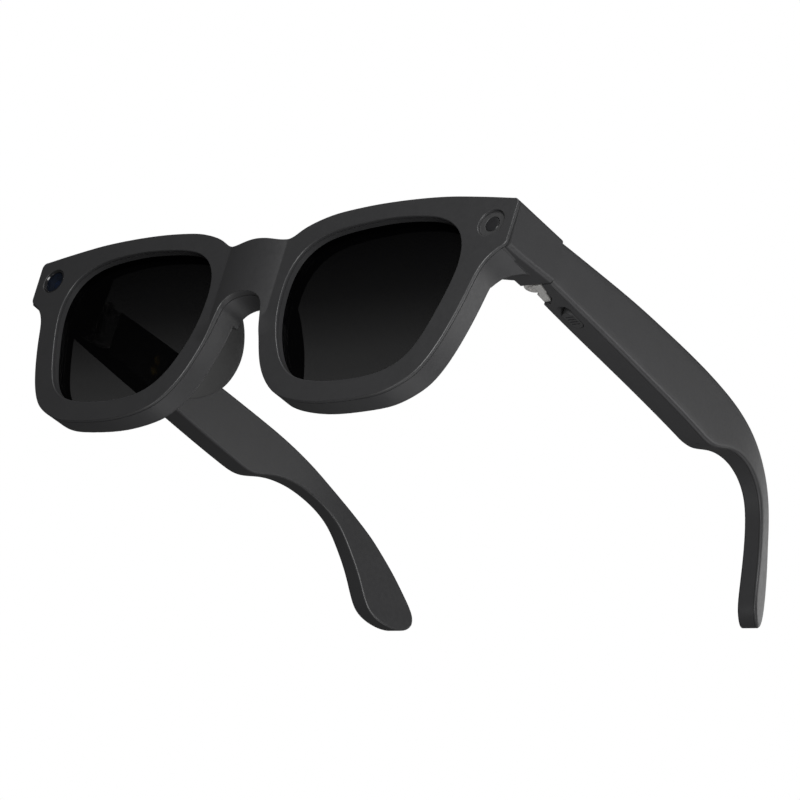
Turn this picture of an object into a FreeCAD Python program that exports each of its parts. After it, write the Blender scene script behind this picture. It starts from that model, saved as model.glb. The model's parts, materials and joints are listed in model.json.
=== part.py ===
import FreeCAD, Part
import math
import os
from FreeCAD import Vector as V

os.makedirs("parts", exist_ok=True)

# ---------------------------------------------------------------------------
# Camera glasses, millimetres.  The pieces are drawn in a working frame:
#   +X towards the wearer's left, +Y from the front face back along the
#   temples, +Z up, the front face in the plane y = 0, the upper outer
#   corner of the front at z = 0.
# Every finished piece is then pitched about X by PITCH and shifted, so that
# the glasses stand open on the plane z = 0 on the two rims and the two ear
# tips, with the origin under the middle of the bounding box.
# ---------------------------------------------------------------------------
PITCH = 4.920          # degrees, back end down
SHIFT_Y = -73.821      # mm, working frame to part frame
SHIFT_Z = 47.714       # mm

# front
FACE_T = 1.0           # thickness of the front plate
RIM_BACK = 6.7         # rear plane of the rims
SEAM = 17.0            # rear plane of the end pieces
LENS_Y0, LENS_Y1 = 2.4, 4.1
LENS_GROOVE = 0.7      # groove depth around the aperture
CAM_X, CAM_Z = 67.7, -5.5
CAM_R = 3.25           # outer radius of the camera trim ring
LED_R = 3.37           # radius of the indicator recess
NOSE_PAD_T = 2.5

# hinge
HX, HY = 67.9, 19.2    # hinge axis
KN_R = 2.0             # knuckle radius
PIN_R = 0.70
BORE_R = 0.75
KN = [(-10.9, -8.0), (-7.7, -4.2), (-3.9, -1.2)]   # lower, middle, upper

# temple
GAP = 0.25             # seam gap between end piece and temple
T0 = SEAM + GAP
COVER_T = 1.0          # thickness of the outer cover plate
WALL = 1.0
SLOT_X, SLOT_Y0, SLOT_Y1, SLOT_W = 71.3, 26.1, 35.2, 3.4
SLIDE_TRAVEL = 2.2
BTN_Y0, BTN_Y1, BTN_W = 29.5, 37.5, 2.6
BTN_TRAVEL = 0.35

# ---- outlines ---------------------------------------------------------------
# aperture of the left rim (x, z), closed curve
APERTURE = [(60.44, -21.0), (61.33, -16.45), (61.25, -11.61), (59.57, -7.1),
            (56.04, -3.77), (51.51, -1.91), (47.0, -1.08), (42.9, -0.67),
            (39.12, -0.48), (35.5, -0.54), (31.93, -0.76), (28.25, -1.08),
            (24.3, -1.65), (20.14, -2.69), (16.26, -4.85), (13.43, -8.26),
            (12.03, -12.46), (11.74, -16.81), (12.05, -21.0), (12.81, -25.0),
            (14.06, -28.8), (15.73, -32.42), (17.86, -35.8), (20.7, -38.63),
            (24.22, -40.54), (28.02, -41.54), (31.8, -42.0), (35.5, -42.13),
            (39.21, -42.08), (43.06, -41.78), (47.12, -41.0), (51.04, -39.42),
            (54.22, -36.71), (56.42, -33.08), (57.96, -29.18), (59.25, -25.19)]
# upper edge of the front, from the middle to the outer corner
TOP_EDGE = [(0, -1.75), (4.0, -2.1), (8.0, -2.45), (10.0, -1.95), (12.0, -0.6),
            (14.5, 0.75), (17.5, 1.85), (21.0, 2.75), (26.0, 3.4), (31.5, 3.8),
            (37.0, 3.95), (42.5, 3.9), (48.5, 3.65), (54.5, 3.15),
            (60.0, 2.4), (65.5, 1.55), (69.0, 0.95), (72.2, 0.4)]
# lower edge, from the outer lower corner of the end piece round the rim to
# the middle of the nose arch
LOW_EDGE = [(71.7, -12.0), (70.2, -13.2), (68.6, -15.0), (67.25, -17.6),
            (66.15, -21.5), (65.15, -25.3), (63.95, -29.2), (62.35, -33.6),
            (60.2, -38.1), (57.35, -41.85), (53.8, -44.3), (49.5, -46.1),
            (44.2, -46.95), (38.0, -47.3), (32.0, -47.25), (27.0, -46.65),
            (22.8, -45.7), (19.0, -44.2), (15.2, -41.1), (12.9, -38.2),
            (10.7, -34.1), (9.1, -29.9), (7.9, -26.2), (7.2, -23.0),
            (6.7, -20.8), (6.2, -19.2), (5.2, -17.9), (3.3, -16.8),
            (0, -16.3)]
CORNER_T = [(72.2, 0.4), (73.3, -0.05), (73.7, -1.15)]
CORNER_B = [(73.25, -10.2), (72.85, -11.25), (71.7, -12.0)]

# side profile of a temple (y, z)
BOTTOM_LINE = [(T0, -11.7), (84.0, -14.5)]
HOOK_BOTTOM = [(84.0, -14.5), (88.0, -14.48), (91.2, -13.9), (94.5, -12.65),
               (98.5, -10.95), (102.5, -9.75), (106.0, -9.15), (109.5, -8.9),
               (113.5, -9.1), (117.7, -9.8), (121.5, -10.95), (125.0, -12.7),
               (127.8, -14.9), (130.3, -17.5), (132.8, -20.5), (135.2, -23.8),
               (137.3, -27.2), (139.4, -30.6), (141.3, -32.8), (144.0, -34.3),
               (147.5, -35.0), (151.0, -34.8), (153.6, -33.6), (154.9, -31.6)]
TOP_LINE = [(154.9, -31.6), (154.6, -29.4), (153.0, -26.9), (150.1, -23.8),
            (146.1, -19.9), (141.7, -16.1), (137.6, -12.75), (132.9, -9.65),
            (128.2, -7.15), (123.1, -4.95), (118.0, -3.1), (113.0, -1.6),
            (108.5, -0.6), (103.0, 0.25), (97.0, 0.8), (90.0, 1.1),
            (80.0, 1.25), (70.0, 1.25), (60.0, 1.15), (50.0, 0.95), (42.0, 0.6),
            (33.0, 0.1), (25.0, -0.35), (T0, -0.8)]
# plan of a temple: (y, outer x) and (y, inner x)
PLAN_OUT = [(T0, 74.75), (40.7, 75.95), (60.7, 76.6), (75.7, 76.9),
            (90.7, 76.55), (110.7, 74.55), (130.7, 69.6), (141.7, 65.35),
            (150.7, 61.7), (157.7, 58.4)]
PLAN_IN = [(T0, 67.5), (40.7, 68.1), (60.7, 68.95), (75.7, 69.35),
           (90.7, 69.45), (110.7, 68.65), (130.7, 64.4), (141.7, 59.8),
           (150.7, 56.1), (157.7, 53.0)]


# ---- helpers ----------------------------------------------------------------
def spline(pts, periodic=False):
    c = Part.BSplineCurve()
    if periodic:
        c.interpolate(Points=pts, PeriodicFlag=True)
    else:
        c.interpolate(Points=pts)
    return c.toShape()


def xz(pts, y=0.0):
    return [V(p[0], y, p[1]) for p in pts]


def box(x0, x1, y0, y1, z0, z1):
    return Part.makeBox(x1 - x0, y1 - y0, z1 - z0, V(x0, y0, z0))


def cyl(x, y, z, r, h, d):
    return Part.makeCylinder(r, h, V(x, y, z), d)


def prism(pts, d):
    w = Part.makePolygon(pts + [pts[0]])
    return Part.Face(w).extrude(d)


def mirror(s):
    return s.mirror(V(0, 0, 0), V(1, 0, 0))


def outset(pts, d):
    out = []
    n = len(pts)
    for i in range(n):
        a, b = pts[i - 1], pts[(i + 1) % n]
        tx, tz = b[0] - a[0], b[1] - a[1]
        l = math.hypot(tx, tz)
        out.append((pts[i][0] + d * tz / l, pts[i][1] - d * tx / l))
    return out


def interp(tab, y):
    for (a, u), (b, v) in zip(tab, tab[1:]):
        if y <= b:
            return u + (v - u) * (y - a) / (b - a)
    return tab[-1][1]


def ap_prism(off, y0, y1):
    w = Part.Wire([spline(xz(outset(APERTURE, off), y0), True)])
    return Part.Face(w).extrude(V(0, y1 - y0, 0))


def front_face(y):
    """Closed outline of the whole front, both halves."""
    top = TOP_EDGE[1:]
    top = [(-x, z) for x, z in reversed(top)] + [TOP_EDGE[0]] + top
    low = LOW_EDGE[:-1]
    low = low + [LOW_EDGE[-1]] + [(-x, z) for x, z in reversed(low)]

    def arc(p, s):
        q = [V(s * x, y, z) for x, z in p]
        return Part.Arc(q[0], q[1], q[2]).toShape()

    def line(a, b, s):
        return Part.makeLine(V(s * a[0], y, a[1]), V(s * b[0], y, b[1]))
    edges = [spline(xz(top, y)), arc(CORNER_T, 1),
             line(CORNER_T[-1], CORNER_B[0], 1), arc(CORNER_B, 1),
             spline(xz(low, y)), arc(list(reversed(CORNER_B)), -1),
             line(CORNER_B[0], CORNER_T[-1], -1),
             arc(list(reversed(CORNER_T)), -1)]
    return Part.Face(Part.Wire(edges))


def try_edge(s, edges, size, kind):
    """Round or bevel edges one chain at a time; a chain that cannot take it
    stays sharp."""
    for e in edges:
        try:
            r = s.makeFillet(size, e) if kind == "f" else s.makeChamfer(size, e)
            if r.isValid() and r.Volume > 0.8 * s.Volume:
                return r
        except Exception:
            pass
    return s


PIECES = {}


def add(name, shape):
    PIECES[name] = shape


# ---- front ------------------------------------------------------------------
outline = front_face(0.0)
plate = outline.extrude(V(0, FACE_T, 0))
core = front_face(FACE_T).extrude(V(0, RIM_BACK - FACE_T, 0))
core = try_edge(core, [[e for e in core.Edges if e.BoundBox.YMin > RIM_BACK - 0.01]], 0.8, "f")

# convex bridge, standing forward of the plate between two creases
SW_X, SW_A = 8.8, 1.25
pts = [V(-SW_X, 0, -30), V(0, -SW_A, -30), V(SW_X, 0, -30)]
sw = Part.Face(Part.Wire([Part.Arc(*pts).toShape(), Part.makeLine(pts[-1], V(SW_X, FACE_T, -30)),
                          Part.makeLine(V(SW_X, FACE_T, -30), V(-SW_X, FACE_T, -30)),
                          Part.makeLine(V(-SW_X, FACE_T, -30), pts[0])]))
sw = sw.extrude(V(0, 0, 40))
big = front_face(-2.0).extrude(V(0, 2.0 + FACE_T, 0)).common(sw)
for s in (1, -1):
    a = ap_prism(0.0, -3, FACE_T + 1)
    big = big.cut(a if s == 1 else mirror(a))
plate = plate.fuse(big)

holes = []
for off, y0, y1 in ((0.0, -3.0, RIM_BACK + 1),):
    a = ap_prism(off, y0, y1)
    holes += [a, mirror(a)]
plate = plate.cut(holes[0]).cut(holes[1])
plate = plate.cut(cyl(-CAM_X, -1, CAM_Z, CAM_R + 0.05, 4, V(0, 1, 0)))
plate = plate.cut(cyl(CAM_X, -1, CAM_Z, LED_R + 0.03, 4, V(0, 1, 0)))
plate = plate.removeSplitter()
front_edges = [e for e in plate.Edges
               if abs(e.BoundBox.YMax) < 0.05 and e.BoundBox.YMin > -1.5
               and not isinstance(e.Curve, Part.Circle)
               and (e.BoundBox.ZMax > -0.3 or e.BoundBox.ZMin < -43 or e.BoundBox.XMax > 72 or e.BoundBox.XMin < -72)]
plate = try_edge(plate, [front_edges], 0.3, "c")
add("front_bezel", plate)

frame = core.cut(holes[0]).cut(holes[1])
# the bridge is a little deeper than the rims
boss = front_face(RIM_BACK - 2.0).extrude(V(0, 6.0, 0))
boss = boss.common(prism([V(-10.5, 4.0, -21), V(-10.5, RIM_BACK - 0.2, -21), V(-7.0, 7.7, -21), V(7.0, 7.7, -21),
                          V(10.5, RIM_BACK - 0.2, -21), V(10.5, 4.0, -21)], V(0, 0, 30)))
for s in (1, -1):
    a = ap_prism(0.4, 0, 12)
    boss = boss.cut(a if s == 1 else mirror(a))
frame = frame.fuse(boss)
groove = ap_prism(LENS_GROOVE, LENS_Y0, LENS_Y1)
frame = frame.cut(groove).cut(mirror(groove))

# end pieces
side = prism([V(60, FACE_T, 0.2), V(60, SEAM, -0.3), V(60, SEAM, -11.5), V(60, 6.0, -11.85), V(60, FACE_T, -11.75)], V(20, 0, 0))
plan = prism([V(73.7, FACE_T, -20), V(74.95, SEAM, -20), V(66.3, SEAM, -20),
              V(66.3, 10.5, -20), V(65.2, 8.0, -20), V(62.3, RIM_BACK, -20), V(62.3, FACE_T, -20)], V(0, 0, 25))
ear = side.common(plan)
ear = try_edge(ear, [[e for e in ear.Edges if e.BoundBox.XMin > 73 and e.BoundBox.YLength > 10]], 1.0, "f")
cut_a = box(63.4, 72.0, FACE_T - 0.5, 6.0, -10.0, -1.2)
cut_b = box(67.5, 72.6, 5.5, 14.2, -10.0, -1.6)
leaf_pocket = box(66.0, 72.8, 16.05, SEAM + 1, -10.6, -1.2)
# room swept by the temple's hinge metal
relief = cyl(HX, HY, -14, KN_R + 0.3, 20, V(0, 0, 1))
# web that carries the end piece into the back of the rim
web = front_face(RIM_BACK - 2.5).extrude(V(0, 12.0, 0)).cut(ap_prism(0.5, 0, 25))
web = web.common(prism([V(55, 4.2, -20), V(55, RIM_BACK - 0.2, -20), V(58.0, 10.3, -20), V(62.5, 13.0, -20),
                        V(66.4, 14.6, -20), V(71.5, 14.6, -20), V(71.5, 4.2, -20)], V(0, 0, 25)))
web = web.common(prism([V(50, 4.2, -0.1), V(50, 15.0, -0.4), V(50, 15.0, -11.45), V(50, 13.2, -11.6), V(50, 11.0, -12.4),
                        V(50, 9.2, -13.7), V(50, 7.8, -15.4), V(50, 6.4, -18.2), V(50, 4.2, -18.2)], V(25, 0, 0)))
# the left half is finished first and then mirrored
half = frame.common(box(0, 90, -5, 30, -60, 20)).fuse(ear).fuse(web)
frame = half.fuse(mirror(half))
for s in (1, -1):
    for c in (cut_a, cut_b, leaf_pocket, relief):
        frame = frame.cut(c if s == 1 else mirror(c))

# channel for the flex that joins the two end pieces, under the front plate
MID = [(66.0, -2.2), (62.5, -0.6), (58.0, -0.2), (52.0, 0.9), (46.0, 1.35),
       (40.0, 1.6), (33.0, 1.45), (26.0, 1.05), (20.0, 0.1), (15.5, -1.7),
       (12.2, -4.0), (9.0, -5.2), (4.0, -5.8)]
MID = [(-x, z) for x, z in MID] + list(reversed(MID))


def ribbon(half, y0, y1):
    up, dn = [], []
    for i, p in enumerate(MID):
        a, b = MID[max(i - 1, 0)], MID[min(i + 1, len(MID) - 1)]
        tx, tz = b[0] - a[0], b[1] - a[1]
        l = math.hypot(tx, tz)
        up.append(V(p[0] - half * tz / l, y0, p[1] + half * tx / l))
        dn.append(V(p[0] + half * tz / l, y0, p[1] - half * tx / l))
    return prism(up + list(reversed(dn)), V(0, y1 - y0, 0))


frame = frame.cut(ribbon(0.75, FACE_T, FACE_T + 0.6))
frame = frame.removeSplitter()
add("rear_frame", frame)
add("front_flex_cable", ribbon(0.6, FACE_T + 0.1, FACE_T + 0.3))

lens = ap_prism(LENS_GROOVE - 0.05, LENS_Y0 + 0.02, LENS_Y1 - 0.02)
add("lens_left", lens)
add("lens_right", mirror(lens))

# nose pads: curved fins behind the nasal part of each rim
PAD_N = [(7.35, -14.9), (7.5, -18.0), (7.9, -22.0), (8.7, -26.0), (9.9, -30.0), (11.9, -34.2), (14.6, -37.6), (16.6, -39.3)]
pn = spline(xz(PAD_N, RIM_BACK))
po = [(x + NOSE_PAD_T * (1.0 if i < 5 else 0.85), z + (0.25 * NOSE_PAD_T if i > 3 else 0.0)) for i, (x, z) in enumerate(PAD_N)]
pl = spline(xz(po, RIM_BACK))
pad_f = Part.Face(Part.Wire([pn, Part.makeLine(V(PAD_N[-1][0], RIM_BACK, PAD_N[-1][1]), V(po[-1][0], RIM_BACK, po[-1][1])),
                             pl, Part.makeLine(V(po[0][0], RIM_BACK, po[0][1]), V(PAD_N[0][0], RIM_BACK, PAD_N[0][1]))]))
pad = pad_f.extrude(V(0, 12, 0))
PAD_SIDE = [(RIM_BACK, -15.4), (8.9, -16.4), (11.4, -18.9), (13.1, -21.9), (14.3, -25.4), (14.6, -29.0),
            (14.1, -32.6), (12.5, -35.8), (9.8, -38.2), (RIM_BACK, -39.6)]
pw = [V(0, y, z) for y, z in PAD_SIDE]
pad_s = Part.Face(Part.Wire([spline(pw), Part.makeLine(pw[-1], pw[0])])).extrude(V(30, 0, 0))
pad = pad.common(pad_s).cut(boss)
add("nose_pad_left", pad)
add("nose_pad_right", mirror(pad))

# camera in the wearer's right end piece
ring = cyl(-CAM_X, 0.12, CAM_Z, CAM_R, FACE_T - 0.12, V(0, 1, 0)).cut(cyl(-CAM_X, 0, CAM_Z, 2.72, 2, V(0, 1, 0)))
add("camera_ring", ring)
add("camera_window", cyl(-CAM_X, 0.45, CAM_Z, 2.70, 0.55, V(0, 1, 0)))
camera = cyl(-CAM_X, 1.25, CAM_Z, 2.6, 2.0, V(0, 1, 0)).cut(cyl(-CAM_X, 1.2, CAM_Z, 1.9, 0.7, V(0, 1, 0)))
camera = camera.fuse(box(-CAM_X - 3.6, -CAM_X + 3.6, 3.2, 4.9, CAM_Z - 3.6, CAM_Z + 3.6))
add("camera_module", camera)
add("camera_objective", cyl(-CAM_X, 1.35, CAM_Z, 1.85, 0.5, V(0, 1, 0)))
add("camera_board", box(-71.8, -63.7, 4.95, 5.5, -9.8, -1.5))

# indicator light in the wearer's left end piece
bez = cyl(CAM_X, 0.55, CAM_Z, LED_R, FACE_T - 0.55, V(0, 1, 0)).cut(cyl(CAM_X, 0, CAM_Z, 1.80, 2, V(0, 1, 0)))
add("indicator_surround", bez)
add("indicator_window", cyl(CAM_X, 0.4, CAM_Z, 1.77, 1.2, V(0, 1, 0)))
led = box(63.7, 71.8, 2.6, 3.2, -9.8, -1.5).fuse(box(CAM_X - 0.9, CAM_X + 0.9, 1.8, 2.6, CAM_Z - 0.9, CAM_Z + 0.9))
add("indicator_board", led)


# ---- hinges -----------------------------------------------------------------
def knuckle(k):
    return cyl(HX, HY, KN[k][0], KN_R, KN[k][1] - KN[k][0], V(0, 0, 1))


bore = cyl(HX, HY, -15, BORE_R, 20, V(0, 0, 1))
lf = box(66.5, 72.6, 16.1, SEAM - 0.02, -10.5, -1.3)
for k in (0, 2):
    lf = lf.fuse(box(HX - 1.0, HX + KN_R, 16.5, HY, KN[k][0] if k else -10.5, KN[k][1])).fuse(knuckle(k))
lf = lf.cut(bore)
SCR = [(71.5, -3.9), (71.5, -8.0)]
for x, z in SCR:
    lf = lf.cut(cyl(x, 15.9, z, 0.55, 2, V(0, 1, 0))).cut(cyl(x, 16.55, z, 0.95, 1, V(0, 1, 0)))
lf = lf.removeSplitter()
lt = knuckle(1)
NOTCH = [(60.0, T0 - 1), (71.15, T0 - 1), (71.05, T0), (69.75, 25.0), (60.0, 25.0)]
arm = prism([V(HX, HY, -11.25), V(70.75, HY, -11.25), V(69.5, 24.75, -11.25), (V(67.75, 24.75, -11.25))], V(0, 0, 10.3))
clear = cyl(HX, HY, -15, KN_R + 0.3, 20, V(0, 0, 1)).cut(cyl(HX, HY, KN[1][0], 3, KN[1][1] - KN[1][0], V(0, 0, 1)))
arm = arm.cut(clear)
# flat foot that shows in the notch under the temple
FOOT = [(68.95, T0 + 0.1), (71.5, T0 + 0.1), (71.1, 20.4), (70.6, 20.95), (70.1, 23.8), (68.05, 23.8), (68.3, 22.1), (68.85, 20.85)]
foot = prism([V(x, y, -11.55) for x, y in FOOT], V(0, 0, 0.5)).cut(cyl(HX, HY, -12, 1.3, 2, V(0, 0, 1)))
lt = lt.fuse(arm).fuse(foot).cut(bore)
# tongue let into the temple housing, held by two screws
tongue = box(70.15, 71.35, 23.0, 33.5, -6.0, -2.9).fuse(box(69.0, 71.35, 23.0, 24.7, -6.0, -2.9))
lt = lt.fuse(tongue)
for y in (27.5, 31.5):
    lt = lt.cut(cyl(69, y, -4.45, 0.55, 4, V(1, 0, 0)))
lt = lt.removeSplitter()
add("hinge_front_leaf_left", lf)
add("hinge_front_leaf_right", mirror(lf))
add("hinge_temple_leaf_left", lt)
add("hinge_temple_leaf_right", mirror(lt))
pin = cyl(HX, HY, -11.0, PIN_R, 9.9, V(0, 0, 1)).fuse(cyl(HX, HY, -11.3, 1.0, 0.38, V(0, 0, 1)))
pin = pin.cut(box(HX - 1.1, HX + 1.1, HY - 0.16, HY + 0.16, -11.6, -11.15))
add("hinge_pin_left", pin)
add("hinge_pin_right", mirror(pin))
scr = []
for s in (1, -1):
    for x, z in SCR:
        c = cyl(x, 14.5, z, 0.5, 2.1, V(0, 1, 0)).fuse(cyl(x, 16.57, z, 0.9, 0.36, V(0, 1, 0)))
        scr.append(c if s == 1 else mirror(c))
add("hinge_screws_front", Part.Compound(scr))
for s, n in ((1, "left"), (-1, "right")):
    g = []
    for y in (27.5, 31.5):
        c = cyl(69.2, y, -4.45, 0.5, 2.3, V(1, 0, 0)).fuse(cyl(71.37, y, -4.45, 0.85, 0.4, V(1, 0, 0)))
        g.append(c if s == 1 else mirror(c))
    add("hinge_screws_" + n, Part.Compound(g))
# thread pilot holes for the front screws
for s in (1, -1):
    for x, z in SCR:
        c = cyl(x, 14.3, z, 0.5, 3, V(0, 1, 0))
        PIECES["rear_frame"] = PIECES["rear_frame"].cut(c if s == 1 else mirror(c))

# ---- temples ----------------------------------------------------------------


def profile(x0, x1):
    b = [V(x0, y, z) for y, z in HOOK_BOTTOM]
    t = [V(x0, y, z) for y, z in TOP_LINE]
    w = Part.Wire([Part.makeLine(V(x0, *BOTTOM_LINE[0]), b[0]), spline(b), spline(t),
                   Part.makeLine(t[-1], V(x0, *BOTTOM_LINE[0]))])
    return Part.Face(w).extrude(V(x1 - x0, 0, 0))


def plan_prism(f_out, f_in):
    o = [V(x, y, -60) for y, x in f_out]
    i = [V(x, y, -60) for y, x in f_in]
    w = Part.Wire([spline(o), Part.makeLine(o[-1], i[-1]), spline(list(reversed(i))), Part.makeLine(i[0], o[0])])
    return Part.Face(w).extrude(V(0, 0, 80))


def sh(tab, d):
    return [(y, x + d) for y, x in tab]


prof = profile(40, 90)
cover = prof.common(plan_prism(PLAN_OUT, sh(PLAN_OUT, -COVER_T)))
body = prof.common(plan_prism(sh(PLAN_OUT, -COVER_T - 0.04), PLAN_IN))


def long_edges(s, x_side):
    """The long upper and lower edges on the outer (+1) or inner (-1) face."""
    r = []
    for e in s.Edges:
        bb = e.BoundBox
        if bb.YLength < 8:
            continue
        ok = True
        for t in (0.1, 0.5, 0.9):
            p = e.valueAt(e.FirstParameter + t * (e.LastParameter - e.FirstParameter))
            ref = interp(PLAN_OUT, p.y) if x_side > 0 else interp(PLAN_IN, p.y)
            if abs(p.x - ref) > 0.35:
                ok = False
        if ok:
            r.append(e)
    return r


oe = long_edges(cover, 1)
cover = try_edge(cover, [oe, oe[:1], oe[1:]], 0.8, "f")
ie = long_edges(body, -1)
body = try_edge(body, [ie, ie[:1], ie[1:]], 0.5, "f")


def z_bot(y):
    a, b = BOTTOM_LINE
    return a[1] + (b[1] - a[1]) * (y - a[0]) / (b[0] - a[0])


def slab(xa, xb, y0, y1, z0, z1):
    """Block whose two long sides follow the plan of the temple."""
    p = [V(xa(y0), y0, z0), V(xb(y0), y0, z0), V(xb(y1), y1, z0), V(xa(y1), y1, z0)]
    return prism(p, V(0, 0, z1 - z0))


def xin(d):
    return lambda y: interp(PLAN_IN, y) + d


def xpart(d):
    return lambda y: interp(PLAN_OUT, y) - COVER_T - 0.04 + d


# electronics bay, open towards the cover
bay = prism([V(xin(WALL)(36.5), 36.5, -11.2), V(xpart(1)(36.5), 36.5, -11.2), V(xpart(1)(84), 84, -11.2), V(xin(WALL)(84), 84, -11.2)], V(0, 0, 10.6))
bay2 = prism([V(70.1, 25.6, -10.6), V(75, 25.6, -10.6), V(75.5, 36.6, -10.6), V(70.1, 36.6, -10.6)], V(0, 0, 9.4))
notch = prism([V(x, y, -20) for x, y in NOTCH], V(0, 0, 30))
notch = notch.fuse(cyl(HX, HY, -20, KN_R + 0.35, 30, V(0, 0, 1)))
notch = notch.fuse(prism([V(60, T0 - 1, -14), V(72.0, T0 - 1, -14), V(71.95, T0, -14), V(71.3, 22.6, -14), V(70.35, 24.05, -14), V(60, 24.05, -14)], V(0, 0, 3.05)))
tong_cut = box(70.05, 71.45, 22.5, 33.7, -6.1, -2.8).fuse(box(68.8, 71.45, 22.8, 24.85, -6.1, -2.8))
body = body.cut(bay).cut(bay2).cut(notch).cut(tong_cut)
for y in (27.5, 31.5):
    body = body.cut(cyl(69.1, y, -4.45, 0.5, 3, V(1, 0, 0)))
cover = cover.cut(notch)


def stadium(x, y0, y1, w, z0, h):
    r = w / 2.0
    a = cyl(x, y0 + r, z0, r, h, V(0, 0, 1))
    b = cyl(x, y1 - r, z0, r, h, V(0, 0, 1))
    return a.fuse(b).fuse(box(x - r, x + r, y0 + r, y1 - r, z0, z0 + h)).removeSplitter()


# left temple: power slide switch and microphone hole in the underside
body_l = body.cut(stadium(SLOT_X, SLOT_Y0, SLOT_Y1, SLOT_W, -14, 3.6))
MIC_X, MIC_Y = 73.0, 88.4
body_l = body_l.cut(cyl(MIC_X, MIC_Y, -16, 0.35, 5.0, V(0, 0, 1)))
body_l = body_l.cut(box(71.6, 73.7, 86.4, 90.0, -11.6, -10.0)).cut(box(71.6, 80, 86.4, 90.0, -11.6, -10.0))
# sound outlet: slot through the top wall over the speaker
vent = prism([V(xin(2.2)(71.5), 71.5, -2), V(xin(3.2)(71.5), 71.5, -2), V(xin(3.2)(81.5), 81.5, -2), V(xin(2.2)(81.5), 81.5, -2)], V(0, 0, 5))
body_l = body_l.cut(vent)
add("temple_housing_left", body_l)
add("temple_cover_left", cover)

# right temple: capture button in the top, charging pads on the inner face
body_r = body.cut(vent)
btn_hole = stadium(71.9, BTN_Y0 - 0.2, BTN_Y1 + 0.2, BTN_W + 0.4, -1.8, 3.0)
body_r = body_r.cut(btn_hole).cut(box(70.1, 73.6, BTN_Y0 - 1.2, BTN_Y1 + 1.2, -3.2, -1.2))
for z in (-5.2, -8.2):
    body_r = body_r.cut(cyl(66.0, 42.0, z, 1.3, 4.2, V(1, 0, 0)))
add("temple_housing_right", mirror(body_r))
add("temple_cover_right", mirror(cover))

# slider: ribbed thumb piece in the rear part of its slot, flush with the
# underside, on a stem with a foot
SL0, SL1 = SLOT_Y1 - 0.2 - 6.5, SLOT_Y1 - 0.2
zs = z_bot(SL1) + 0.05
sl = stadium(SLOT_X, SL0, SL1, SLOT_W - 0.5, zs - 0.1, 1.65)
for i in range(4):
    y = SL0 + 1.75 + i * 1.0
    sl = sl.cut(box(SLOT_X - 1.15, SLOT_X + 1.15, y - 0.2, y + 0.2, zs - 1, zs + 0.25))
sl = sl.fuse(box(SLOT_X - 0.6, SLOT_X + 0.6, SL0 + 2.4, SL1 - 2.4, zs + 1.4, zs + 3.1))
add("power_switch_slider", sl.removeSplitter())
sw_b = box(SLOT_X - 1.15, 73.4, 26.0, 35.6, -9.85, -6.2)
sw_b = sw_b.cut(box(SLOT_X - 0.9, SLOT_X + 0.9, 26.9, 34.9, -10.5, -8.2))
add("power_switch_body", sw_b)

# capture button
bt = stadium(71.9, BTN_Y0, BTN_Y1, BTN_W, -1.7, 2.15)
bt = bt.fuse(box(70.5, 73.3, BTN_Y0 - 0.5, BTN_Y1 + 0.5, -2.2, -1.6))
add("capture_button", mirror(bt.removeSplitter()))
add("capture_switch", mirror(box(72.0, 73.3, 32.6, 36.2, -6.6, -3.6).fuse(box(72.2, 73.1, 33.4, 34.6, -3.6, -2.65))))
pads = []
for z in (-5.2, -8.2):
    pads.append(mirror(cyl(interp(PLAN_IN, 42.0) + 0.15, 42.0, z, 1.25, 1.1, V(1, 0, 0))))
add("charging_contacts", Part.Compound(pads))

# electronics shared by both temples
for s, n in ((1, "left"), (-1, "right")):
    m = (lambda q: q) if s == 1 else mirror
    add("battery_" + n, m(slab(xin(WALL + 0.45), xpart(-1.7), 44.5, 68.5, -10.6, -1.3)))
    add("temple_board_" + n, m(slab(xpart(-0.8), xpart(-0.25), 39.5, 83.0, -10.6, -1.3)))
    add("speaker_" + n, m(slab(xin(WALL + 0.2), xpart(-1.5), 70.5, 82.5, -9.8, -2.6)))
    add("speaker_mesh_" + n, m(slab(xin(2.05), xin(3.35), 71.2, 81.8, -1.05, -0.62).fuse(slab(xin(2.25), xin(3.15), 71.6, 81.4, -0.7, 0.75))))
add("microphone_left", box(71.75, 73.5, 86.6, 89.8, -11.5, -10.3))

# ---- place and write --------------------------------------------------------
lo = [1e9] * 3
hi = [-1e9] * 3
for name, shape in PIECES.items():
    s = shape.copy()
    s.rotate(V(0, 0, 0), V(1, 0, 0), -PITCH)
    s.translate(V(0, SHIFT_Y, SHIFT_Z))
    bb = s.optimalBoundingBox(True, False) if hasattr(s, "optimalBoundingBox") else s.BoundBox
    for i, (a, b) in enumerate(((bb.XMin, bb.XMax), (bb.YMin, bb.YMax), (bb.ZMin, bb.ZMax))):
        lo[i] = min(lo[i], a)
        hi[i] = max(hi[i], b)
    ok = s.isValid()
    print("%-26s solids %d valid %s vol %.1f z0 %.2f" % (name, len(s.Solids), ok, s.Volume, bb.ZMin))
    s.exportStep("parts/" + name + ".step")
print("box", [round(v, 3) for v in lo], [round(v, 3) for v in hi])
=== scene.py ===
import bpy, bmesh, json, math
from mathutils import Vector, Matrix


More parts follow.
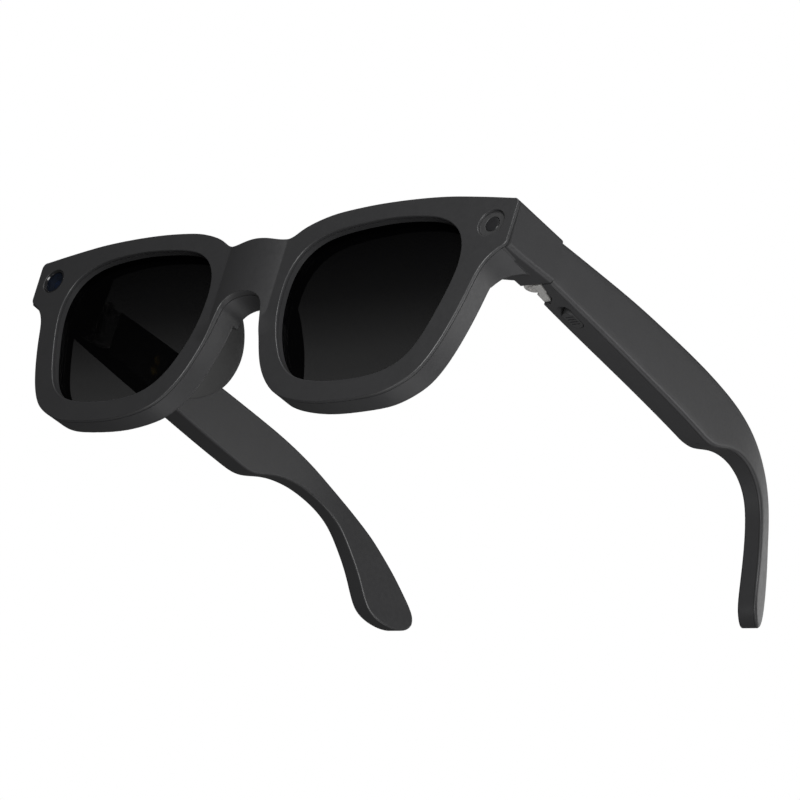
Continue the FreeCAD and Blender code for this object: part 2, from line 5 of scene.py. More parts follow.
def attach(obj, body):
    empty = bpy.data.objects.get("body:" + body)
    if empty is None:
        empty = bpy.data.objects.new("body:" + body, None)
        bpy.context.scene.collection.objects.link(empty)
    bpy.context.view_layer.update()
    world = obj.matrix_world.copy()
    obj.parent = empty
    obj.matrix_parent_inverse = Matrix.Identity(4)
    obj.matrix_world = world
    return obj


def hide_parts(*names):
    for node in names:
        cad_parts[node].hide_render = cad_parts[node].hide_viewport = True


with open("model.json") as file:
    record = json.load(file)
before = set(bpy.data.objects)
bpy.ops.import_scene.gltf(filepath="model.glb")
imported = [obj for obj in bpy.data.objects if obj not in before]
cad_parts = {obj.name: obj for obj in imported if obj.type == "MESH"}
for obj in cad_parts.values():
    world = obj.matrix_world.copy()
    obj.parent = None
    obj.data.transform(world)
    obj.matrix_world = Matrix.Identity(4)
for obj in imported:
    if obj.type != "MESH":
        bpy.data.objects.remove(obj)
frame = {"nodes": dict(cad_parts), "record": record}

bpy.context.view_layer.update()
SC = bpy.context.scene
NODES = frame["nodes"]

# ------------------------------------------------------------------ frame
# The pieces are drawn in the working frame of the design (mm, x to the
# wearer's left, y back, z up), then pitched and shifted to the row frame.
PITCH, SHIFT_Y, SHIFT_Z = math.radians(4.920), -73.821, 47.714
CP, SP = math.cos(PITCH), math.sin(PITCH)


def T(p):
    x, y, z = p
    return Vector((x / 1000, (y * CP + z * SP + SHIFT_Y) / 1000, (-y * SP + z * CP + SHIFT_Z) / 1000))


# ------------------------------------------------------------------ materials
def new_mat(name):
    m = bpy.data.materials.new(name)
    m.use_nodes = True
    nt = m.node_tree
    b = nt.nodes["Principled BSDF"]
    return m, nt, b


def node(nt, kind, loc=(0, 0), **kw):
    n = nt.nodes.new(kind)
    n.location = loc
    for k, v in kw.items():
        if k in n.inputs.keys():
            n.inputs[k].default_value = v
        else:
            setattr(n, k, v)
    return n


def ramp(nt, fac, stops):
    r = nt.nodes.new("ShaderNodeValToRGB")
    e = r.color_ramp.elements
    while len(e) < len(stops):
        e.new(0.5)
    for el, (p, c) in zip(e, stops):
        el.position = p
        el.color = c if len(c) == 4 else (*c, 1)
    nt.links.new(fac, r.inputs["Fac"])
    return r


def grey(v):
    return (v, v, v, 1)


def moulded(name, base, rough=0.4, grain=2600.0, depth=0.000012, spec=0.5, mottle=0.035, coat=0.0):
    """Fine-textured moulded plastic: spark-eroded grain, faint flow mottling
    and slightly polished spots."""
    m, nt, b = new_mat(name)
    L = nt.links.new
    tc = node(nt, "ShaderNodeTexCoord", (-1200, 0))
    big = node(nt, "ShaderNodeTexNoise", (-900, 300), Scale=160.0, Detail=4.0, Roughness=0.55)
    L(tc.outputs["Object"], big.inputs["Vector"])
    lo_c = tuple(c * (1 - mottle) for c in base)
    hi_c = tuple(c * (1 + mottle) for c in base)
    r = ramp(nt, big.outputs["Fac"], [(0.3, lo_c), (0.7, hi_c)])
    L(r.outputs["Color"], b.inputs["Base Color"])
    mid = node(nt, "ShaderNodeTexNoise", (-900, 0), Scale=900.0, Detail=3.0, Roughness=0.6)
    L(tc.outputs["Object"], mid.inputs["Vector"])
    rr = ramp(nt, mid.outputs["Fac"], [(0.25, grey(rough - 0.05)), (0.75, grey(rough + 0.05))])
    L(rr.outputs["Color"], b.inputs["Roughness"])
    fine = node(nt, "ShaderNodeTexNoise", (-900, -300), Scale=grain, Detail=2.0, Roughness=0.5)
    L(tc.outputs["Object"], fine.inputs["Vector"])
    bump = node(nt, "ShaderNodeBump", (-300, -300), Strength=0.6, Distance=depth)
    L(fine.outputs["Fac"], bump.inputs["Height"])
    L(bump.outputs["Normal"], b.inputs["Normal"])
    b.inputs["Specular IOR Level"].default_value = spec
    b.inputs["Coat Weight"].default_value = coat
    return m


def satin_metal(name, base, rough=0.28, scale=900.0, aniso=0.0):
    m, nt, b = new_mat(name)
    L = nt.links.new
    tc = node(nt, "ShaderNodeTexCoord")
    mp = node(nt, "ShaderNodeMapping", Scale=(1.0, 1.0, 0.12))
    L(tc.outputs["Object"], mp.inputs["Vector"])
    n1 = node(nt, "ShaderNodeTexNoise", Scale=scale * 4, Detail=4.0)
    L(mp.outputs["Vector"], n1.inputs["Vector"])
    n2 = node(nt, "ShaderNodeTexNoise", Scale=scale * 0.5, Detail=3.0)
    L(tc.outputs["Object"], n2.inputs["Vector"])
    c = ramp(nt, n2.outputs["Fac"], [(0.3, tuple(v * 0.88 for v in base)), (0.7, base)])
    L(c.outputs["Color"], b.inputs["Base Color"])
    rr = ramp(nt, n1.outputs["Fac"], [(0.3, grey(rough - 0.06)), (0.7, grey(rough + 0.08))])
    L(rr.outputs["Color"], b.inputs["Roughness"])
    bump = node(nt, "ShaderNodeBump", Strength=0.4, Distance=0.000004)
    L(n1.outputs["Fac"], bump.inputs["Height"])
    L(bump.outputs["Normal"], b.inputs["Normal"])
    b.inputs["Metallic"].default_value = 1.0
    return m


def lens_tint(name):
    """Grey gradient tint, darker at the top, polished."""
    m, nt, b = new_mat(name)
    L = nt.links.new
    tc = node(nt, "ShaderNodeTexCoord")
    sep = node(nt, "ShaderNodeSeparateXYZ")
    L(tc.outputs["Object"], sep.inputs["Vector"])
    mr = node(nt, "ShaderNodeMapRange")
    mr.inputs["From Min"].default_value = 0.004
    mr.inputs["From Max"].default_value = 0.048
    L(sep.outputs["Z"], mr.inputs["Value"])
    n = node(nt, "ShaderNodeTexNoise", Scale=60.0, Detail=2.0)
    L(tc.outputs["Object"], n.inputs["Vector"])
    mix = node(nt, "ShaderNodeMath", operation="MULTIPLY_ADD")
    L(n.outputs["Fac"], mix.inputs[0])
    mix.inputs[1].default_value = 0.02
    L(mr.outputs["Result"], mix.inputs[2])
    a = ramp(nt, mix.outputs[0], [(0.0, grey(0.845)), (0.25, grey(0.87)), (0.6, grey(0.935)), (1.0, grey(0.97))])
    L(a.outputs["Color"], b.inputs["Alpha"])
    c = ramp(nt, mix.outputs[0], [(0.0, (0.0012, 0.0012, 0.0013)), (1.0, (0.0004, 0.0004, 0.0005))])
    L(c.outputs["Color"], b.inputs["Base Color"])
    b.inputs["Roughness"].default_value = 0.06
    b.inputs["Specular IOR Level"].default_value = 0.02
    return m


def coated_glass(name, base, alpha, tint, rough=0.04):
    m, nt, b = new_mat(name)
    L = nt.links.new
    tc = node(nt, "ShaderNodeTexCoord")
    n = node(nt, "ShaderNodeTexNoise", Scale=400.0, Detail=2.0)
    L(tc.outputs["Object"], n.inputs["Vector"])
    c = ramp(nt, n.outputs["Fac"], [(0.3, base), (0.7, tint)])
    L(c.outputs["Color"], b.inputs["Base Color"])
    b.inputs["Roughness"].default_value = rough
    b.inputs["Alpha"].default_value = alpha
    b.inputs["Specular IOR Level"].default_value = 0.9
    b.inputs["Specular Tint"].default_value = (0.55, 0.7, 1.0, 1)
    return m


MATS = {
    "cover_glass": coated_glass("cover_glass", (0.004, 0.005, 0.008), 0.45, (0.01, 0.015, 0.03)),
    "bezel_plastic": moulded("bezel_plastic", (0.028, 0.028, 0.029)),
    "frame_plastic": moulded("frame_plastic", (0.027, 0.027, 0.028)),
    "temple_plastic": moulded("temple_plastic", (0.027, 0.027, 0.028)),
    "cover_plastic": moulded("cover_plastic", (0.028, 0.028, 0.029)),
    "nose_pad": moulded("nose_pad", (0.022, 0.022, 0.022), rough=0.55),
    "slider_plastic": moulded("slider_plastic", (0.03, 0.03, 0.031)),
    "button_plastic": moulded("button_plastic", (0.027, 0.027, 0.028)),
    "switch_plastic": moulded("switch_plastic", (0.02, 0.02, 0.021)),
    "indicator_trim": moulded("indicator_trim", (0.032, 0.032, 0.033), rough=0.5),
    "indicator_window": moulded("indicator_window", (0.014, 0.014, 0.015), rough=0.3),
    "camera_trim": moulded("camera_trim", (0.012, 0.012, 0.013), rough=0.2),
    "camera_barrel": moulded("camera_barrel", (0.01, 0.01, 0.01), rough=0.6),
    "camera_glass": coated_glass("camera_glass", (0.006, 0.012, 0.05), 1.0, (0.02, 0.05, 0.16), 0.08),
    "circuit_board": moulded("circuit_board", (0.02, 0.09, 0.05), rough=0.35),
    "flex_circuit": moulded("flex_circuit", (0.45, 0.2, 0.04), rough=0.35),
    "speaker_case": moulded("speaker_case", (0.03, 0.03, 0.03)),
    "hinge_metal": satin_metal("hinge_metal", (0.86, 0.85, 0.83), rough=0.5),
    "battery_can": satin_metal("battery_can", (0.55, 0.56, 0.58)),
    "microphone_can": satin_metal("microphone_can", (0.5, 0.5, 0.5)),
    "contact_gold": satin_metal("contact_gold", (0.75, 0.55, 0.2)),
    "speaker_mesh": satin_metal("speaker_mesh", (0.06, 0.06, 0.062), rough=0.5),
    "tinted_lens": lens_tint("tinted_lens"),
}
for s in frame["record"]["subparts"]:
    o = NODES[s["node"]]
    o.data.materials.clear()
    o.data.materials.append(MATS[s["material_slot"]])


# ------------------------------------------------------------------ shapes
import numpy as np
from mathutils.geometry import delaunay_2d_cdt

APERTURE = [(60.44, -21.0), (61.33, -16.45), (61.25, -11.61), (59.57, -7.1),
            (56.04, -3.77), (51.51, -1.91), (47.0, -1.08), (42.9, -0.67),
            (39.12, -0.48), (35.5, -0.54), (31.93, -0.76), (28.25, -1.08),
            (24.3, -1.65), (20.14, -2.69), (16.26, -4.85), (13.43, -8.26),
            (12.03, -12.46), (11.74, -16.81), (12.05, -21.0), (12.81, -25.0),
            (14.06, -28.8), (15.73, -32.42), (17.86, -35.8), (20.7, -38.63),
            (24.22, -40.54), (28.02, -41.54), (31.8, -42.0), (35.5, -42.13),
            (39.21, -42.08), (43.06, -41.78), (47.12, -41.0), (51.04, -39.42),
            (54.22, -36.71), (56.42, -33.08), (57.96, -29.18), (59.25, -25.19)]
TOP_EDGE = [(0, -1.75), (4.0, -2.1), (8.0, -2.45), (10.0, -1.95), (12.0, -0.6),
            (14.5, 0.75), (17.5, 1.85), (21.0, 2.75), (26.0, 3.4), (31.5, 3.8),
            (37.0, 3.95), (42.5, 3.9), (48.5, 3.65), (54.5, 3.15),
            (60.0, 2.4), (65.5, 1.55), (69.0, 0.95), (72.2, 0.4)]
LOW_EDGE = [(71.7, -12.0), (70.2, -13.2), (68.6, -15.0), (67.25, -17.6),
            (66.15, -21.5), (65.15, -25.3), (63.95, -29.2), (62.35, -33.6),
            (60.2, -38.1), (57.35, -41.85), (53.8, -44.3), (49.5, -46.1),
            (44.2, -46.95), (38.0, -47.3), (32.0, -47.25), (27.0, -46.65),
            (22.8, -45.7), (19.0, -44.2), (15.2, -41.1), (12.9, -38.2),
            (10.7, -34.1), (9.1, -29.9), (7.9, -26.2), (7.2, -23.0),
            (6.7, -20.8), (6.2, -19.2), (5.2, -17.9), (3.3, -16.8),
            (0, -16.3)]
PAD_N = [(7.35, -14.9), (7.5, -18.0), (7.9, -22.0), (8.7, -26.0), (9.9, -30.0), (11.9, -34.2), (14.6, -37.6), (16.6, -39.3)]
PAD_SIDE = [(6.7, -15.4), (8.9, -16.4), (11.4, -18.9), (13.1, -21.9), (14.3, -25.4), (14.6, -29.0),
            (14.1, -32.6), (12.5, -35.8), (9.8, -38.2), (6.7, -39.6)]
CAM_X, CAM_Z = 67.7, -5.5
SW_X, SW_A = 8.8, 1.25


def cubic(pts, step, closed=False):
    """Smooth curve through the points, sampled about every step mm."""
    P = np.array(pts, float)
    if closed:
        P = np.vstack([P[-3:], P, P[:4]])
    d = np.linalg.norm(np.diff(P, axis=0), axis=1)
    t = np.concatenate([[0], np.cumsum(d)])
    n = len(P)
    A = np.zeros((n, n))
    B = np.zeros((n, P.shape[1]))
    A[0, 0] = A[-1, -1] = 1
    for i in range(1, n - 1):
        h0, h1 = t[i] - t[i - 1], t[i + 1] - t[i]
        A[i, i - 1], A[i, i], A[i, i + 1] = h0, 2 * (h0 + h1), h1
        B[i] = 6 * ((P[i + 1] - P[i]) / h1 - (P[i] - P[i - 1]) / h0)
    M = np.linalg.solve(A, B)
    a, b = (t[3], t[-4]) if closed else (t[0], t[-1])
    k = max(4, int(round((b - a) / step)))
    q = np.linspace(a, b, k + 1)
    if closed:
        q = q[:-1]
    out = []
    for v in q:
        i = min(max(int(np.searchsorted(t, v)) - 1, 0), n - 2)
        h = t[i + 1] - t[i]
        u, w = (t[i + 1] - v) / h, (v - t[i]) / h
        out.append(u * P[i] + w * P[i + 1] + ((u ** 3 - u) * M[i] + (w ** 3 - w) * M[i + 1]) * h * h / 6)
    return np.array(out)


def arc3(a, b, c, k=8):
    """Points of the circular arc through three points."""
    a, b, c = (np.array(v, float) for v in (a, b, c))
    m = 2 * np.array([[b[0] - a[0], b[1] - a[1]], [c[0] - a[0], c[1] - a[1]]])
    o = np.linalg.solve(m, np.array([b @ b - a @ a, c @ c - a @ a]))
    t = [math.atan2(*(v - o)[::-1]) for v in (a, b, c)]
    r = np.linalg.norm(a - o)
    for i in (1, 2):
        while t[i] - t[i - 1] > math.pi:
            t[i] -= 2 * math.pi
        while t[i] - t[i - 1] < -math.pi:
            t[i] += 2 * math.pi
    return np.array([o + r * np.array([math.cos(v), math.sin(v)]) for v in np.linspace(t[0], t[2], k + 1)])


def outline_front(step=0.5):
    top = cubic([(-x, z) for x, z in TOP_EDGE[::-1]] + TOP_EDGE[1:], step)
    c1 = arc3((72.2, 0.4), (73.3, -0.05), (73.7, -1.15))
    side = np.linspace((73.7, -1.15), (73.25, -10.2), 14)
    c2 = arc3((73.25, -10.2), (72.85, -11.25), (71.7, -12.0))
    low = cubic(LOW_EDGE + [(-x, z) for x, z in LOW_EDGE[::-1][1:]], step)
    fl = lambda q: (q * np.array([-1, 1]))[::-1]
    parts = [top[:-1], c1[:-1], side[:-1], c2[:-1], low[:-1], fl(c2)[:-1], fl(side)[:-1], fl(c1)[:-1]]
    return np.vstack(parts)      # clockwise seen from the front (x right, z up)


def inset(loop, d):
    """Loop moved by d to the right of its running direction, which is the
    inside for a clockwise loop."""
    nx = np.roll(loop, -1, 0)
    pv = np.roll(loop, 1, 0)
    t = nx - pv
    t /= np.linalg.norm(t, axis=1)[:, None] + 1e-12
    n = np.stack([t[:, 1], -t[:, 0]], 1)
    return loop + n * d


def sharpen(me, deg=32.0):
    bm = bmesh.new()
    bm.from_mesh(me)
    lim = math.radians(deg)
    for f in bm.faces:
        f.smooth = True
    for e in bm.edges:
        e.smooth = not (len(e.link_faces) == 2 and e.calc_face_angle(0.0) > lim)
    bm.to_mesh(me)
    bm.free()


def piece(name, verts, faces, mat, body, repl=(), deg=32.0, design=True):
    me = bpy.data.meshes.new(name)
    me.from_pydata([T(v) if design else v for v in verts], [], faces)
    bm = bmesh.new()
    bm.from_mesh(me)
    bmesh.ops.remove_doubles(bm, verts=bm.verts, dist=1e-7)
    bmesh.ops.dissolve_degenerate(bm, dist=1e-8, edges=bm.edges)
    bmesh.ops.delete(bm, geom=[v for v in bm.verts if not v.link_faces], context="VERTS")
    bmesh.ops.recalc_face_normals(bm, faces=bm.faces)
    bm.to_mesh(me)
    bm.free()
    sharpen(me, deg)
    me.materials.append(MATS[mat])
    o = bpy.data.objects.new(name, me)
    SC.collection.objects.link(o)
    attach(o, body)
    if repl:
        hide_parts(*repl)
    return o


def fill(loops, extra):
    """Triangles of the region inside the first loop and outside the others."""
    pts, edges = [], []
    for lp in loops:
        b = len(pts)
        pts += [Vector(p) for p in lp]
        edges += [(b + i, b + (i + 1) % len(lp)) for i in range(len(lp))]
    pts += [Vector(p) for p in extra]
    v, e, f, ov, oe, of_ = delaunay_2d_cdt(pts, edges, [], 0, 1e-6)
    V2 = np.array([(p.x, p.y) for p in v])

    def inside(lp, c):
        x, y = lp[:, 0], lp[:, 1]
        x2, y2 = np.roll(x, -1), np.roll(y, -1)
        m = ((y > c[1]) != (y2 > c[1])) & (c[0] < (x2 - x) * (c[1] - y) / (y2 - y + 1e-15) + x)
        return bool(m.sum() % 2)
    keep = []
    for t in f:
        c = V2[list(t)].mean(0)
        if inside(loops[0], c) and not any(inside(l, c) for l in loops[1:]):
            keep.append(tuple(t))
    return V2, keep


def front_plate():
    out = outline_front(0.45)
    ap = cubic(APERTURE, 0.45, True)                 # counter-clockwise seen from the front?
    area2 = np.sum(ap[:, 0] * np.roll(ap[:, 1], -1) - np.roll(ap[:, 0], -1) * ap[:, 1])
    if area2 < 0:
        ap = ap[::-1]
    apm = (ap * np.array([-1, 1]))[::-1]             # both run counter-clockwise: inset moves them outwards
    th = np.linspace(0, 2 * math.pi, 56, endpoint=False)
    cam = np.stack([-CAM_X + 3.32 * np.cos(th), CAM_Z + 3.32 * np.sin(th)], 1)
    led = np.stack([CAM_X + 3.42 * np.cos(th), CAM_Z + 3.42 * np.sin(th)], 1)
    EDGE = [(0.14, 1.0), (0.14, 0.97), (0.03, 0.86), (0.0, 0.80), (0.0, 0.22), (0.02, 0.13), (0.065, 0.06), (0.13, 0.015), (0.2, 0.0), (0.26, 0.0)]
    HOLE = [(0.0, 1.0), (0.0, 0.12), (0.03, 0.05), (0.08, 0.01), (0.12, 0.0), (0.17, 0.0)]
    verts, faces = [], []

    def swell(x, y):
        a = max(0.0, 1 - (x / SW_X) ** 2)
        return y - SW_A * a * (1 - y)
    rims = []
    for lp, prof in ((out, EDGE), (ap, EDGE), (apm, EDGE), (cam, HOLE), (led, HOLE)):
        prev = None
        n = len(lp)
        for d, y in prof:
            r = inset(lp, d)
            b = len(verts)
            verts += [(p[0], swell(p[0], y), p[1]) for p in r]
            if prev is not None:
                faces += [(prev + i, prev + (i + 1) % n, b + (i + 1) % n, b + i) for i in range(n)]
            prev = b
        rims.append((inset(lp, prof[-1][0]), inset(lp, prof[0][0])))
    ext = []
    for x in [-9.4, -9.0, -8.8, -8.6] + list(np.arange(-8.0, 8.01, 0.8)) + [8.6, 8.8, 9.0, 9.4]:
        for z in np.arange(-22.0, -1.5, 0.8):
            ext.append((x, z))
    fr = rims[0][0]
    lim = []
    for p in ext:
        d = min(np.min(np.linalg.norm(l[0] - np.array(p), axis=1)) for l in rims[:3])
        if d > 0.35:
            lim.append(p)
    for k, y in ((0, 0.0), (1, 1.0)):
        V2, tri = fill([r[k] for r in rims], lim if k == 0 else [])
        b = len(verts)
        verts += [(p[0], swell(p[0], y), p[1]) for p in V2]
        faces += [tuple(b + i for i in t) for t in tri]
    return piece("front_plate", verts, faces, "bezel_plastic", "front", ["front_bezel"], deg=38)


def lathe(name, prof, cx, cz, mat, body, repl=(), n=72, closed=True):
    verts, faces = [], []
    k = len(prof)
    for j in range(n):
        a = 2 * math.pi * j / n
        for r, y in prof:
            verts.append((cx + r * math.cos(a), y, cz + r * math.sin(a)))
    for j in range(n):
        for i in range(k if closed else k - 1):
            a, b = j * k + i, j * k + (i + 1) % k
            c, d = ((j + 1) % n) * k + (i + 1) % k, ((j + 1) % n) * k + i
            faces.append((a, b, c, d))
    return piece(name, verts, faces, mat, body, repl)


def nose_pad(s, name, node_name):
    nose = cubic(PAD_N, 0.5)
    side = cubic([(z, y) for y, z in PAD_SIDE[::-1]], 0.3)
    o = np.argsort(side[:, 0])
    ymax = lambda z: float(np.interp(z, side[o, 0], side[o, 1]))
    m = 30
    verts, faces = [], []
    n = len(nose)
    zs = nose[:, 1]
    for i in range(n):
        p = nose[i]
        a, b = nose[max(i - 1, 0)], nose[min(i + 1, n - 1)]
        t = (b - a) / np.linalg.norm(b - a)
        nn = np.array([-t[1], t[0]])
        if nn[0] < 0:
            nn = -nn
        top = max(ymax(p[1]) if -39.5 < p[1] < -15.45 else 6.7, 6.72)
        h = top - 6.45
        th = 2.45
        for j in range(m + 1):
            v = j / m
            ang = math.pi * v
            e = 0.42
            c, q = math.cos(ang), math.sin(ang)
            w = (1 - math.copysign(abs(c) ** e, c)) / 2
            y = 6.45 + h * abs(q) ** e
            off = w * th - 0.05 + (0.12 * math.sin(math.pi * min(1, h / 8)) if w < 0.5 else 0.0) * (1 - abs(2 * w))
            verts.append((s * (p[0] + nn[0] * off), y, p[1] + nn[1] * off))
    for i in range(n - 1):
        for j in range(m):
            faces.append((i * (m + 1) + j, i * (m + 1) + j + 1, (i + 1) * (m + 1) + j + 1, (i + 1) * (m + 1) + j))
        faces.append((i * (m + 1) + m, i * (m + 1), (i + 1) * (m + 1), (i + 1) * (m + 1) + m))
    faces.append(tuple(range(m + 1)))
    faces.append(tuple((n - 1) * (m + 1) + j for j in range(m + 1)))
    return piece(name, verts, faces, "nose_pad", "front", [node_name], deg=50)


front_plate()
nose_pad(1, "pad_left", "nose_pad_left")
nose_pad(-1, "pad_right", "nose_pad_right")
lathe("lens_ring", [(3.24, 0.95), (3.24, 0.22), (3.17, 0.13), (3.05, 0.09), (2.93, 0.12), (2.78, 0.38), (2.72, 0.55), (2.72, 0.95)],
      -CAM_X, CAM_Z, "camera_trim", "front", ["camera_ring"])
lathe("lens_cover", [(0.0, 0.98), (2.69, 0.98), (2.69, 0.60), (2.64, 0.55), (2.4, 0.51), (1.6, 0.46), (0.8, 0.43), (0.0, 0.42)],
      -CAM_X, CAM_Z, "cover_glass", "front", ["camera_window"], closed=False)
lathe("lens_barrel", [(2.58, 1.25), (2.36, 1.25), (2.3, 1.42), (2.05, 1.42), (2.0, 1.6), (1.78, 1.6), (1.73, 1.78), (1.5, 1.8), (1.42, 2.05),
                      (1.2, 2.1), (1.2, 2.6), (2.58, 2.6)], -CAM_X, CAM_Z, "camera_barrel", "front")
lathe("lens_element", [(0.0, 2.05), (1.46, 2.05), (1.47, 1.9), (1.3, 1.72), (1.0, 1.57), (0.6, 1.46), (0.25, 1.42), (0.0, 1.415)],
      -CAM_X, CAM_Z, "camera_glass", "front", ["camera_objective"], closed=False)
lathe("light_surround", [(3.36, 0.98), (3.36, 0.60), (3.3, 0.56), (2.3, 0.54), (1.92, 0.54), (1.86, 0.6), (1.86, 0.98)],
      CAM_X, CAM_Z, "indicator_trim", "front", ["indicator_surround"])
lathe("light_window", [(0.0, 1.55), (1.76, 1.55), (1.76, 0.60), (1.71, 0.54), (1.5, 0.50), (0.9, 0.47), (0.0, 0.46)],
      CAM_X, CAM_Z, "indicator_window", "front", ["indicator_window"], closed=False)



# ------------------------------------------------------------------ temples
SIDE_LOW = [(84.0, -14.5), (88.0, -14.48), (91.2, -13.9), (94.5, -12.65),
            (98.5, -10.95), (102.5, -9.75), (106.0, -9.15), (109.5, -8.9),
            (113.5, -9.1), (117.7, -9.8), (121.5, -10.95), (125.0, -12.7),
            (127.8, -14.9), (130.3, -17.5), (132.8, -20.5), (135.2, -23.8),
            (137.3, -27.2), (139.4, -30.6), (141.3, -32.8), (144.0, -34.3),
            (147.5, -35.0), (151.0, -34.8), (153.6, -33.6), (154.9, -31.6)]
SIDE_TOP = [(154.9, -31.6), (154.6, -29.4), (153.0, -26.9), (150.1, -23.8),
            (146.1, -19.9), (141.7, -16.1), (137.6, -12.75), (132.9, -9.65),
            (128.2, -7.15), (123.1, -4.95), (118.0, -3.1), (113.0, -1.6),
            (108.5, -0.6), (103.0, 0.25), (97.0, 0.8), (90.0, 1.1),
            (80.0, 1.25), (70.0, 1.25), (60.0, 1.15), (50.0, 0.95), (42.0, 0.6),
            (33.0, 0.1), (25.0, -0.35), (17.25, -0.8)]
P_OUT = np.array([(17.25, 74.75), (40.7, 75.95), (60.7, 76.6), (75.7, 76.9), (90.7, 76.55), (110.7, 74.55),
                  (130.7, 69.6), (141.7, 65.35), (150.7, 61.7), (157.7, 58.4)])


def smooth_table(tab):
    c = cubic(tab, 0.5)
    return lambda y: float(np.interp(y, c[:, 0], c[:, 1]))


def cover_shell(s, name, node_name):
    """Outer cover of a temple: rounded long edges and a fine step where it meets the housing."""
    xo = smooth_table(P_OUT)
    k = 12
    bot = np.linspace((17.25, -11.7), (84.0, -14.5), 90)
    low = cubic(SIDE_LOW, 0.6)
    top = cubic(SIDE_TOP, 0.6)
    front = np.linspace((17.25, -0.8), (17.25, -11.7), k + 1)
    loop = np.vstack([bot[:-1], low[:-1], top[:-1], front[:-1]])
    n = len(loop)
    nb, nl, nt_ = len(bot) - 1, len(low) - 1, len(top) - 1
    # outward normal of each point, from the direction along the loop
    t = np.roll(loop, -1, 0) - np.roll(loop, 1, 0)
    t /= np.linalg.norm(t, axis=1)[:, None] + 1e-12
    inn = np.stack([-t[:, 1], t[:, 0]], 1)
    area2 = np.sum(loop[:, 0] * np.roll(loop[:, 1], -1) - np.roll(loop[:, 0], -1) * loop[:, 1])
    if area2 < 0:
        inn = -inn
    # the seam end is straight: no rounding there
    scale = np.ones(n)
    for i in range(n):
        if loop[i, 0] < 17.25 + 0.05:
            inn[i] = (0.0, 0.0)
            scale[i] = 0.0
    fr0 = nb + nl + nt_
    inn[0] = (0.0, 1.0)
    inn[fr0] = (0.0, -1.0)
    scale[0] = scale[fr0] = 1.0
    r = 0.95
    prof = [(0.16, 1.02), (0.16, 0.97), (0.0, 0.93)] + [(r - r * math.cos(a), r - r * math.sin(a) * 1.0) for a in np.linspace(0, math.pi / 2, 8)[1:]]
    prof = [(0.16, 1.02), (0.15, 0.97), (0.03, 0.96)] + [(r * (1 - math.cos(a)), r * (1 - math.sin(a)) * 0.95) for a in np.linspace(0.0, math.pi / 2, 9)[1:]]
    verts, faces = [], []

    def pos(p, depth):
        mid = 0.0
        return (s * (xo(p[0]) - depth), p[0], p[1])
    prev = None
    for d, dep in prof:
        q = loop + inn * d
        # points along the seam slide between the moved corners
        a, b = q[fr0], q[0]
        for j in range(1, k):
            q[fr0 + j] = a + (b - a) * j / k
        base = len(verts)
        verts += [pos(p, dep) for p in q]
        if prev is not None:
            faces += [(prev + i, prev + (i + 1) % n, base + (i + 1) % n, base + i) for i in range(n)]
        prev, last = base, q
        if len(verts) == n:
            first = q
    ext = []
    for y in np.arange(19.0, 155.0, 1.3):
        for z in np.arange(-35.0, 1.0, 1.3):
            p = np.array((y, z))
            if np.min(np.linalg.norm(last - p, axis=1)) > 0.7:
                ext.append((y, z))
    for lp, dep, ex in ((last, prof[-1][1], ext), (first, prof[0][1], ext)):
        V2, tri = fill([lp], ex)
        base = len(verts)
        verts += [pos(p, dep) for p in V2]
        faces += [tuple(base + i for i in t3) for t3 in tri]
    return piece(name, verts, faces, "cover_plastic", "temple_left" if s > 0 else "temple_right", [node_name], deg=32)


cover_shell(1, "cover_left", "temple_cover_left")
cover_shell(-1, "cover_right", "temple_cover_right")

# ------------------------------------------------------------------ camera
right = Vector((0.7922862, 0.5600144, 0.2422115))
down = Vector((-0.0641324, 0.4712055, -0.8796888))
fwd = Vector((-0.6067698, 0.6814317, 0.4092447))


def rot(v):
    return Vector((v.x, v.y * CP + v.z * SP, -v.y * SP + v.z * CP))


right, down, fwd = rot(right), rot(down), rot(fwd)
cam = bpy.data.objects.new("camera", bpy.data.cameras.new("camera"))
SC.collection.objects.link(cam)
cam.matrix_world = Matrix.Translation(T((367.1997, -349.7141, -258.6408))) @ Matrix((right, -down, -fwd)).transposed().to_4x4()
cam.data.sensor_width = 36.0
cam.data.lens = 2400.617 / 800 * 36.0
cam.data.clip_start, cam.data.clip_end = 0.01, 20.0
SC.camera = cam

# ------------------------------------------------------------------ light
SC.view_settings.view_transform = "Standard"
SC.view_settings.look = "None"
w = bpy.data.worlds.new("studio")
SC.world = w
w.use_nodes = True
nt = w.node_tree
bg = nt.nodes["Background"]
bg.inputs["Color"].default_value = (1, 1, 1, 1)
bg.inputs["Strength"].default_value = 0.05
bg2 = nt.nodes.new("ShaderNodeBackground")
bg2.inputs["Color"].default_value = (1, 1, 1, 1)
bg2.inputs["Strength"].default_value = 1.0
lp = nt.nodes.new("ShaderNodeLightPath")
mx = nt.nodes.new("ShaderNodeMixShader")
nt.links.new(lp.outputs["Is Camera Ray"], mx.inputs["Fac"])
nt.links.new(bg.outputs[0], mx.inputs[1])
nt.links.new(bg2.outputs[0], mx.inputs[2])
nt.links.new(mx.outputs[0], nt.nodes["World Output"].inputs["Surface"])


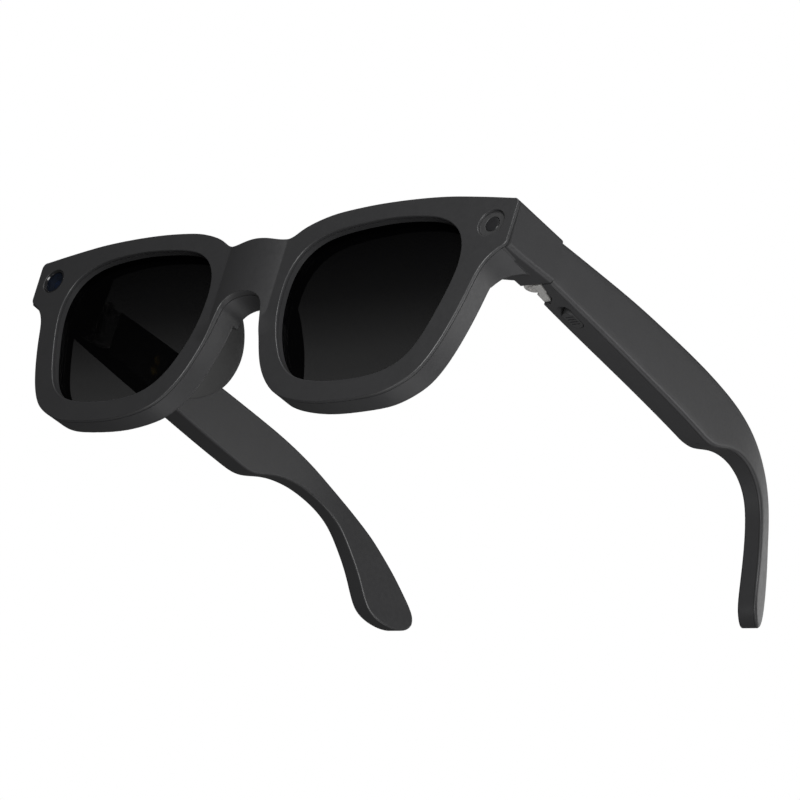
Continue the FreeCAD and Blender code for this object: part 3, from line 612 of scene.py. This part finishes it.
def area(name, loc, target, size, power, colour=(1, 1, 1)):
    d = bpy.data.lights.new(name, "AREA")
    d.shape = "DISK"
    d.size = size
    d.energy = power
    d.color = colour
    o = bpy.data.objects.new(name, d)
    SC.collection.objects.link(o)
    o.location = loc
    o.rotation_mode = "QUATERNION"
    o.rotation_quaternion = (Vector(target) - Vector(loc)).to_track_quat("-Z", "Y")
    return o


CENTRE = Vector((0, 0, 0.025))
area("key", (0.33, -0.24, -0.085), CENTRE, 0.25, 1.5)
area("right_back", (0.7, 0.7, 0.1), CENTRE, 0.5, 1.3)
area("back", (0.0, 0.9, 0.2), CENTRE, 0.6, 0.8)
area("below", (0.1, 0.0, -0.8), CENTRE, 0.6, 1.85)
area("below_back", (0.2, 0.6, -0.5), CENTRE, 0.5, 0.4)
area("top_front", (0.2, -0.6, 0.7), CENTRE, 0.5, 6.0)
area("near", (0.3, -0.1, -0.12), CENTRE, 0.2, 0.25)

# ------------------------------------------------------------------ floor
bm = bmesh.new()
N = 24
for i in range(N):
    a = 2 * math.pi * i / N
    bm.verts.new((1.6 * math.cos(a), 1.6 * math.sin(a), 0))
bm.faces.new(bm.verts)
me = bpy.data.meshes.new("floor")
bm.to_mesh(me)
floor = bpy.data.objects.new("floor", me)
SC.collection.objects.link(floor)
m, nt, b = new_mat("floor_paper")
b.inputs["Base Color"].default_value = (0.86, 0.86, 0.86, 1)
b.inputs["Roughness"].default_value = 0.9
b.inputs["Specular IOR Level"].default_value = 0.0
b.inputs["Emission Color"].default_value = (1, 1, 1, 1)
b.inputs["Emission Strength"].default_value = 0.4
tr = nt.nodes.new("ShaderNodeBsdfTransparent")
geo = nt.nodes.new("ShaderNodeNewGeometry")
mxs = nt.nodes.new("ShaderNodeMixShader")
out = nt.nodes["Material Output"]
nt.links.new(geo.outputs["Backfacing"], mxs.inputs["Fac"])
nt.links.new(b.outputs[0], mxs.inputs[1])
nt.links.new(tr.outputs[0], mxs.inputs[2])
nt.links.new(mxs.outputs[0], out.inputs["Surface"])
me.materials.append(m)
floor.visible_shadow = False
floor.visible_diffuse = False
floor.visible_glossy = False

bpy.context.view_layer.update()
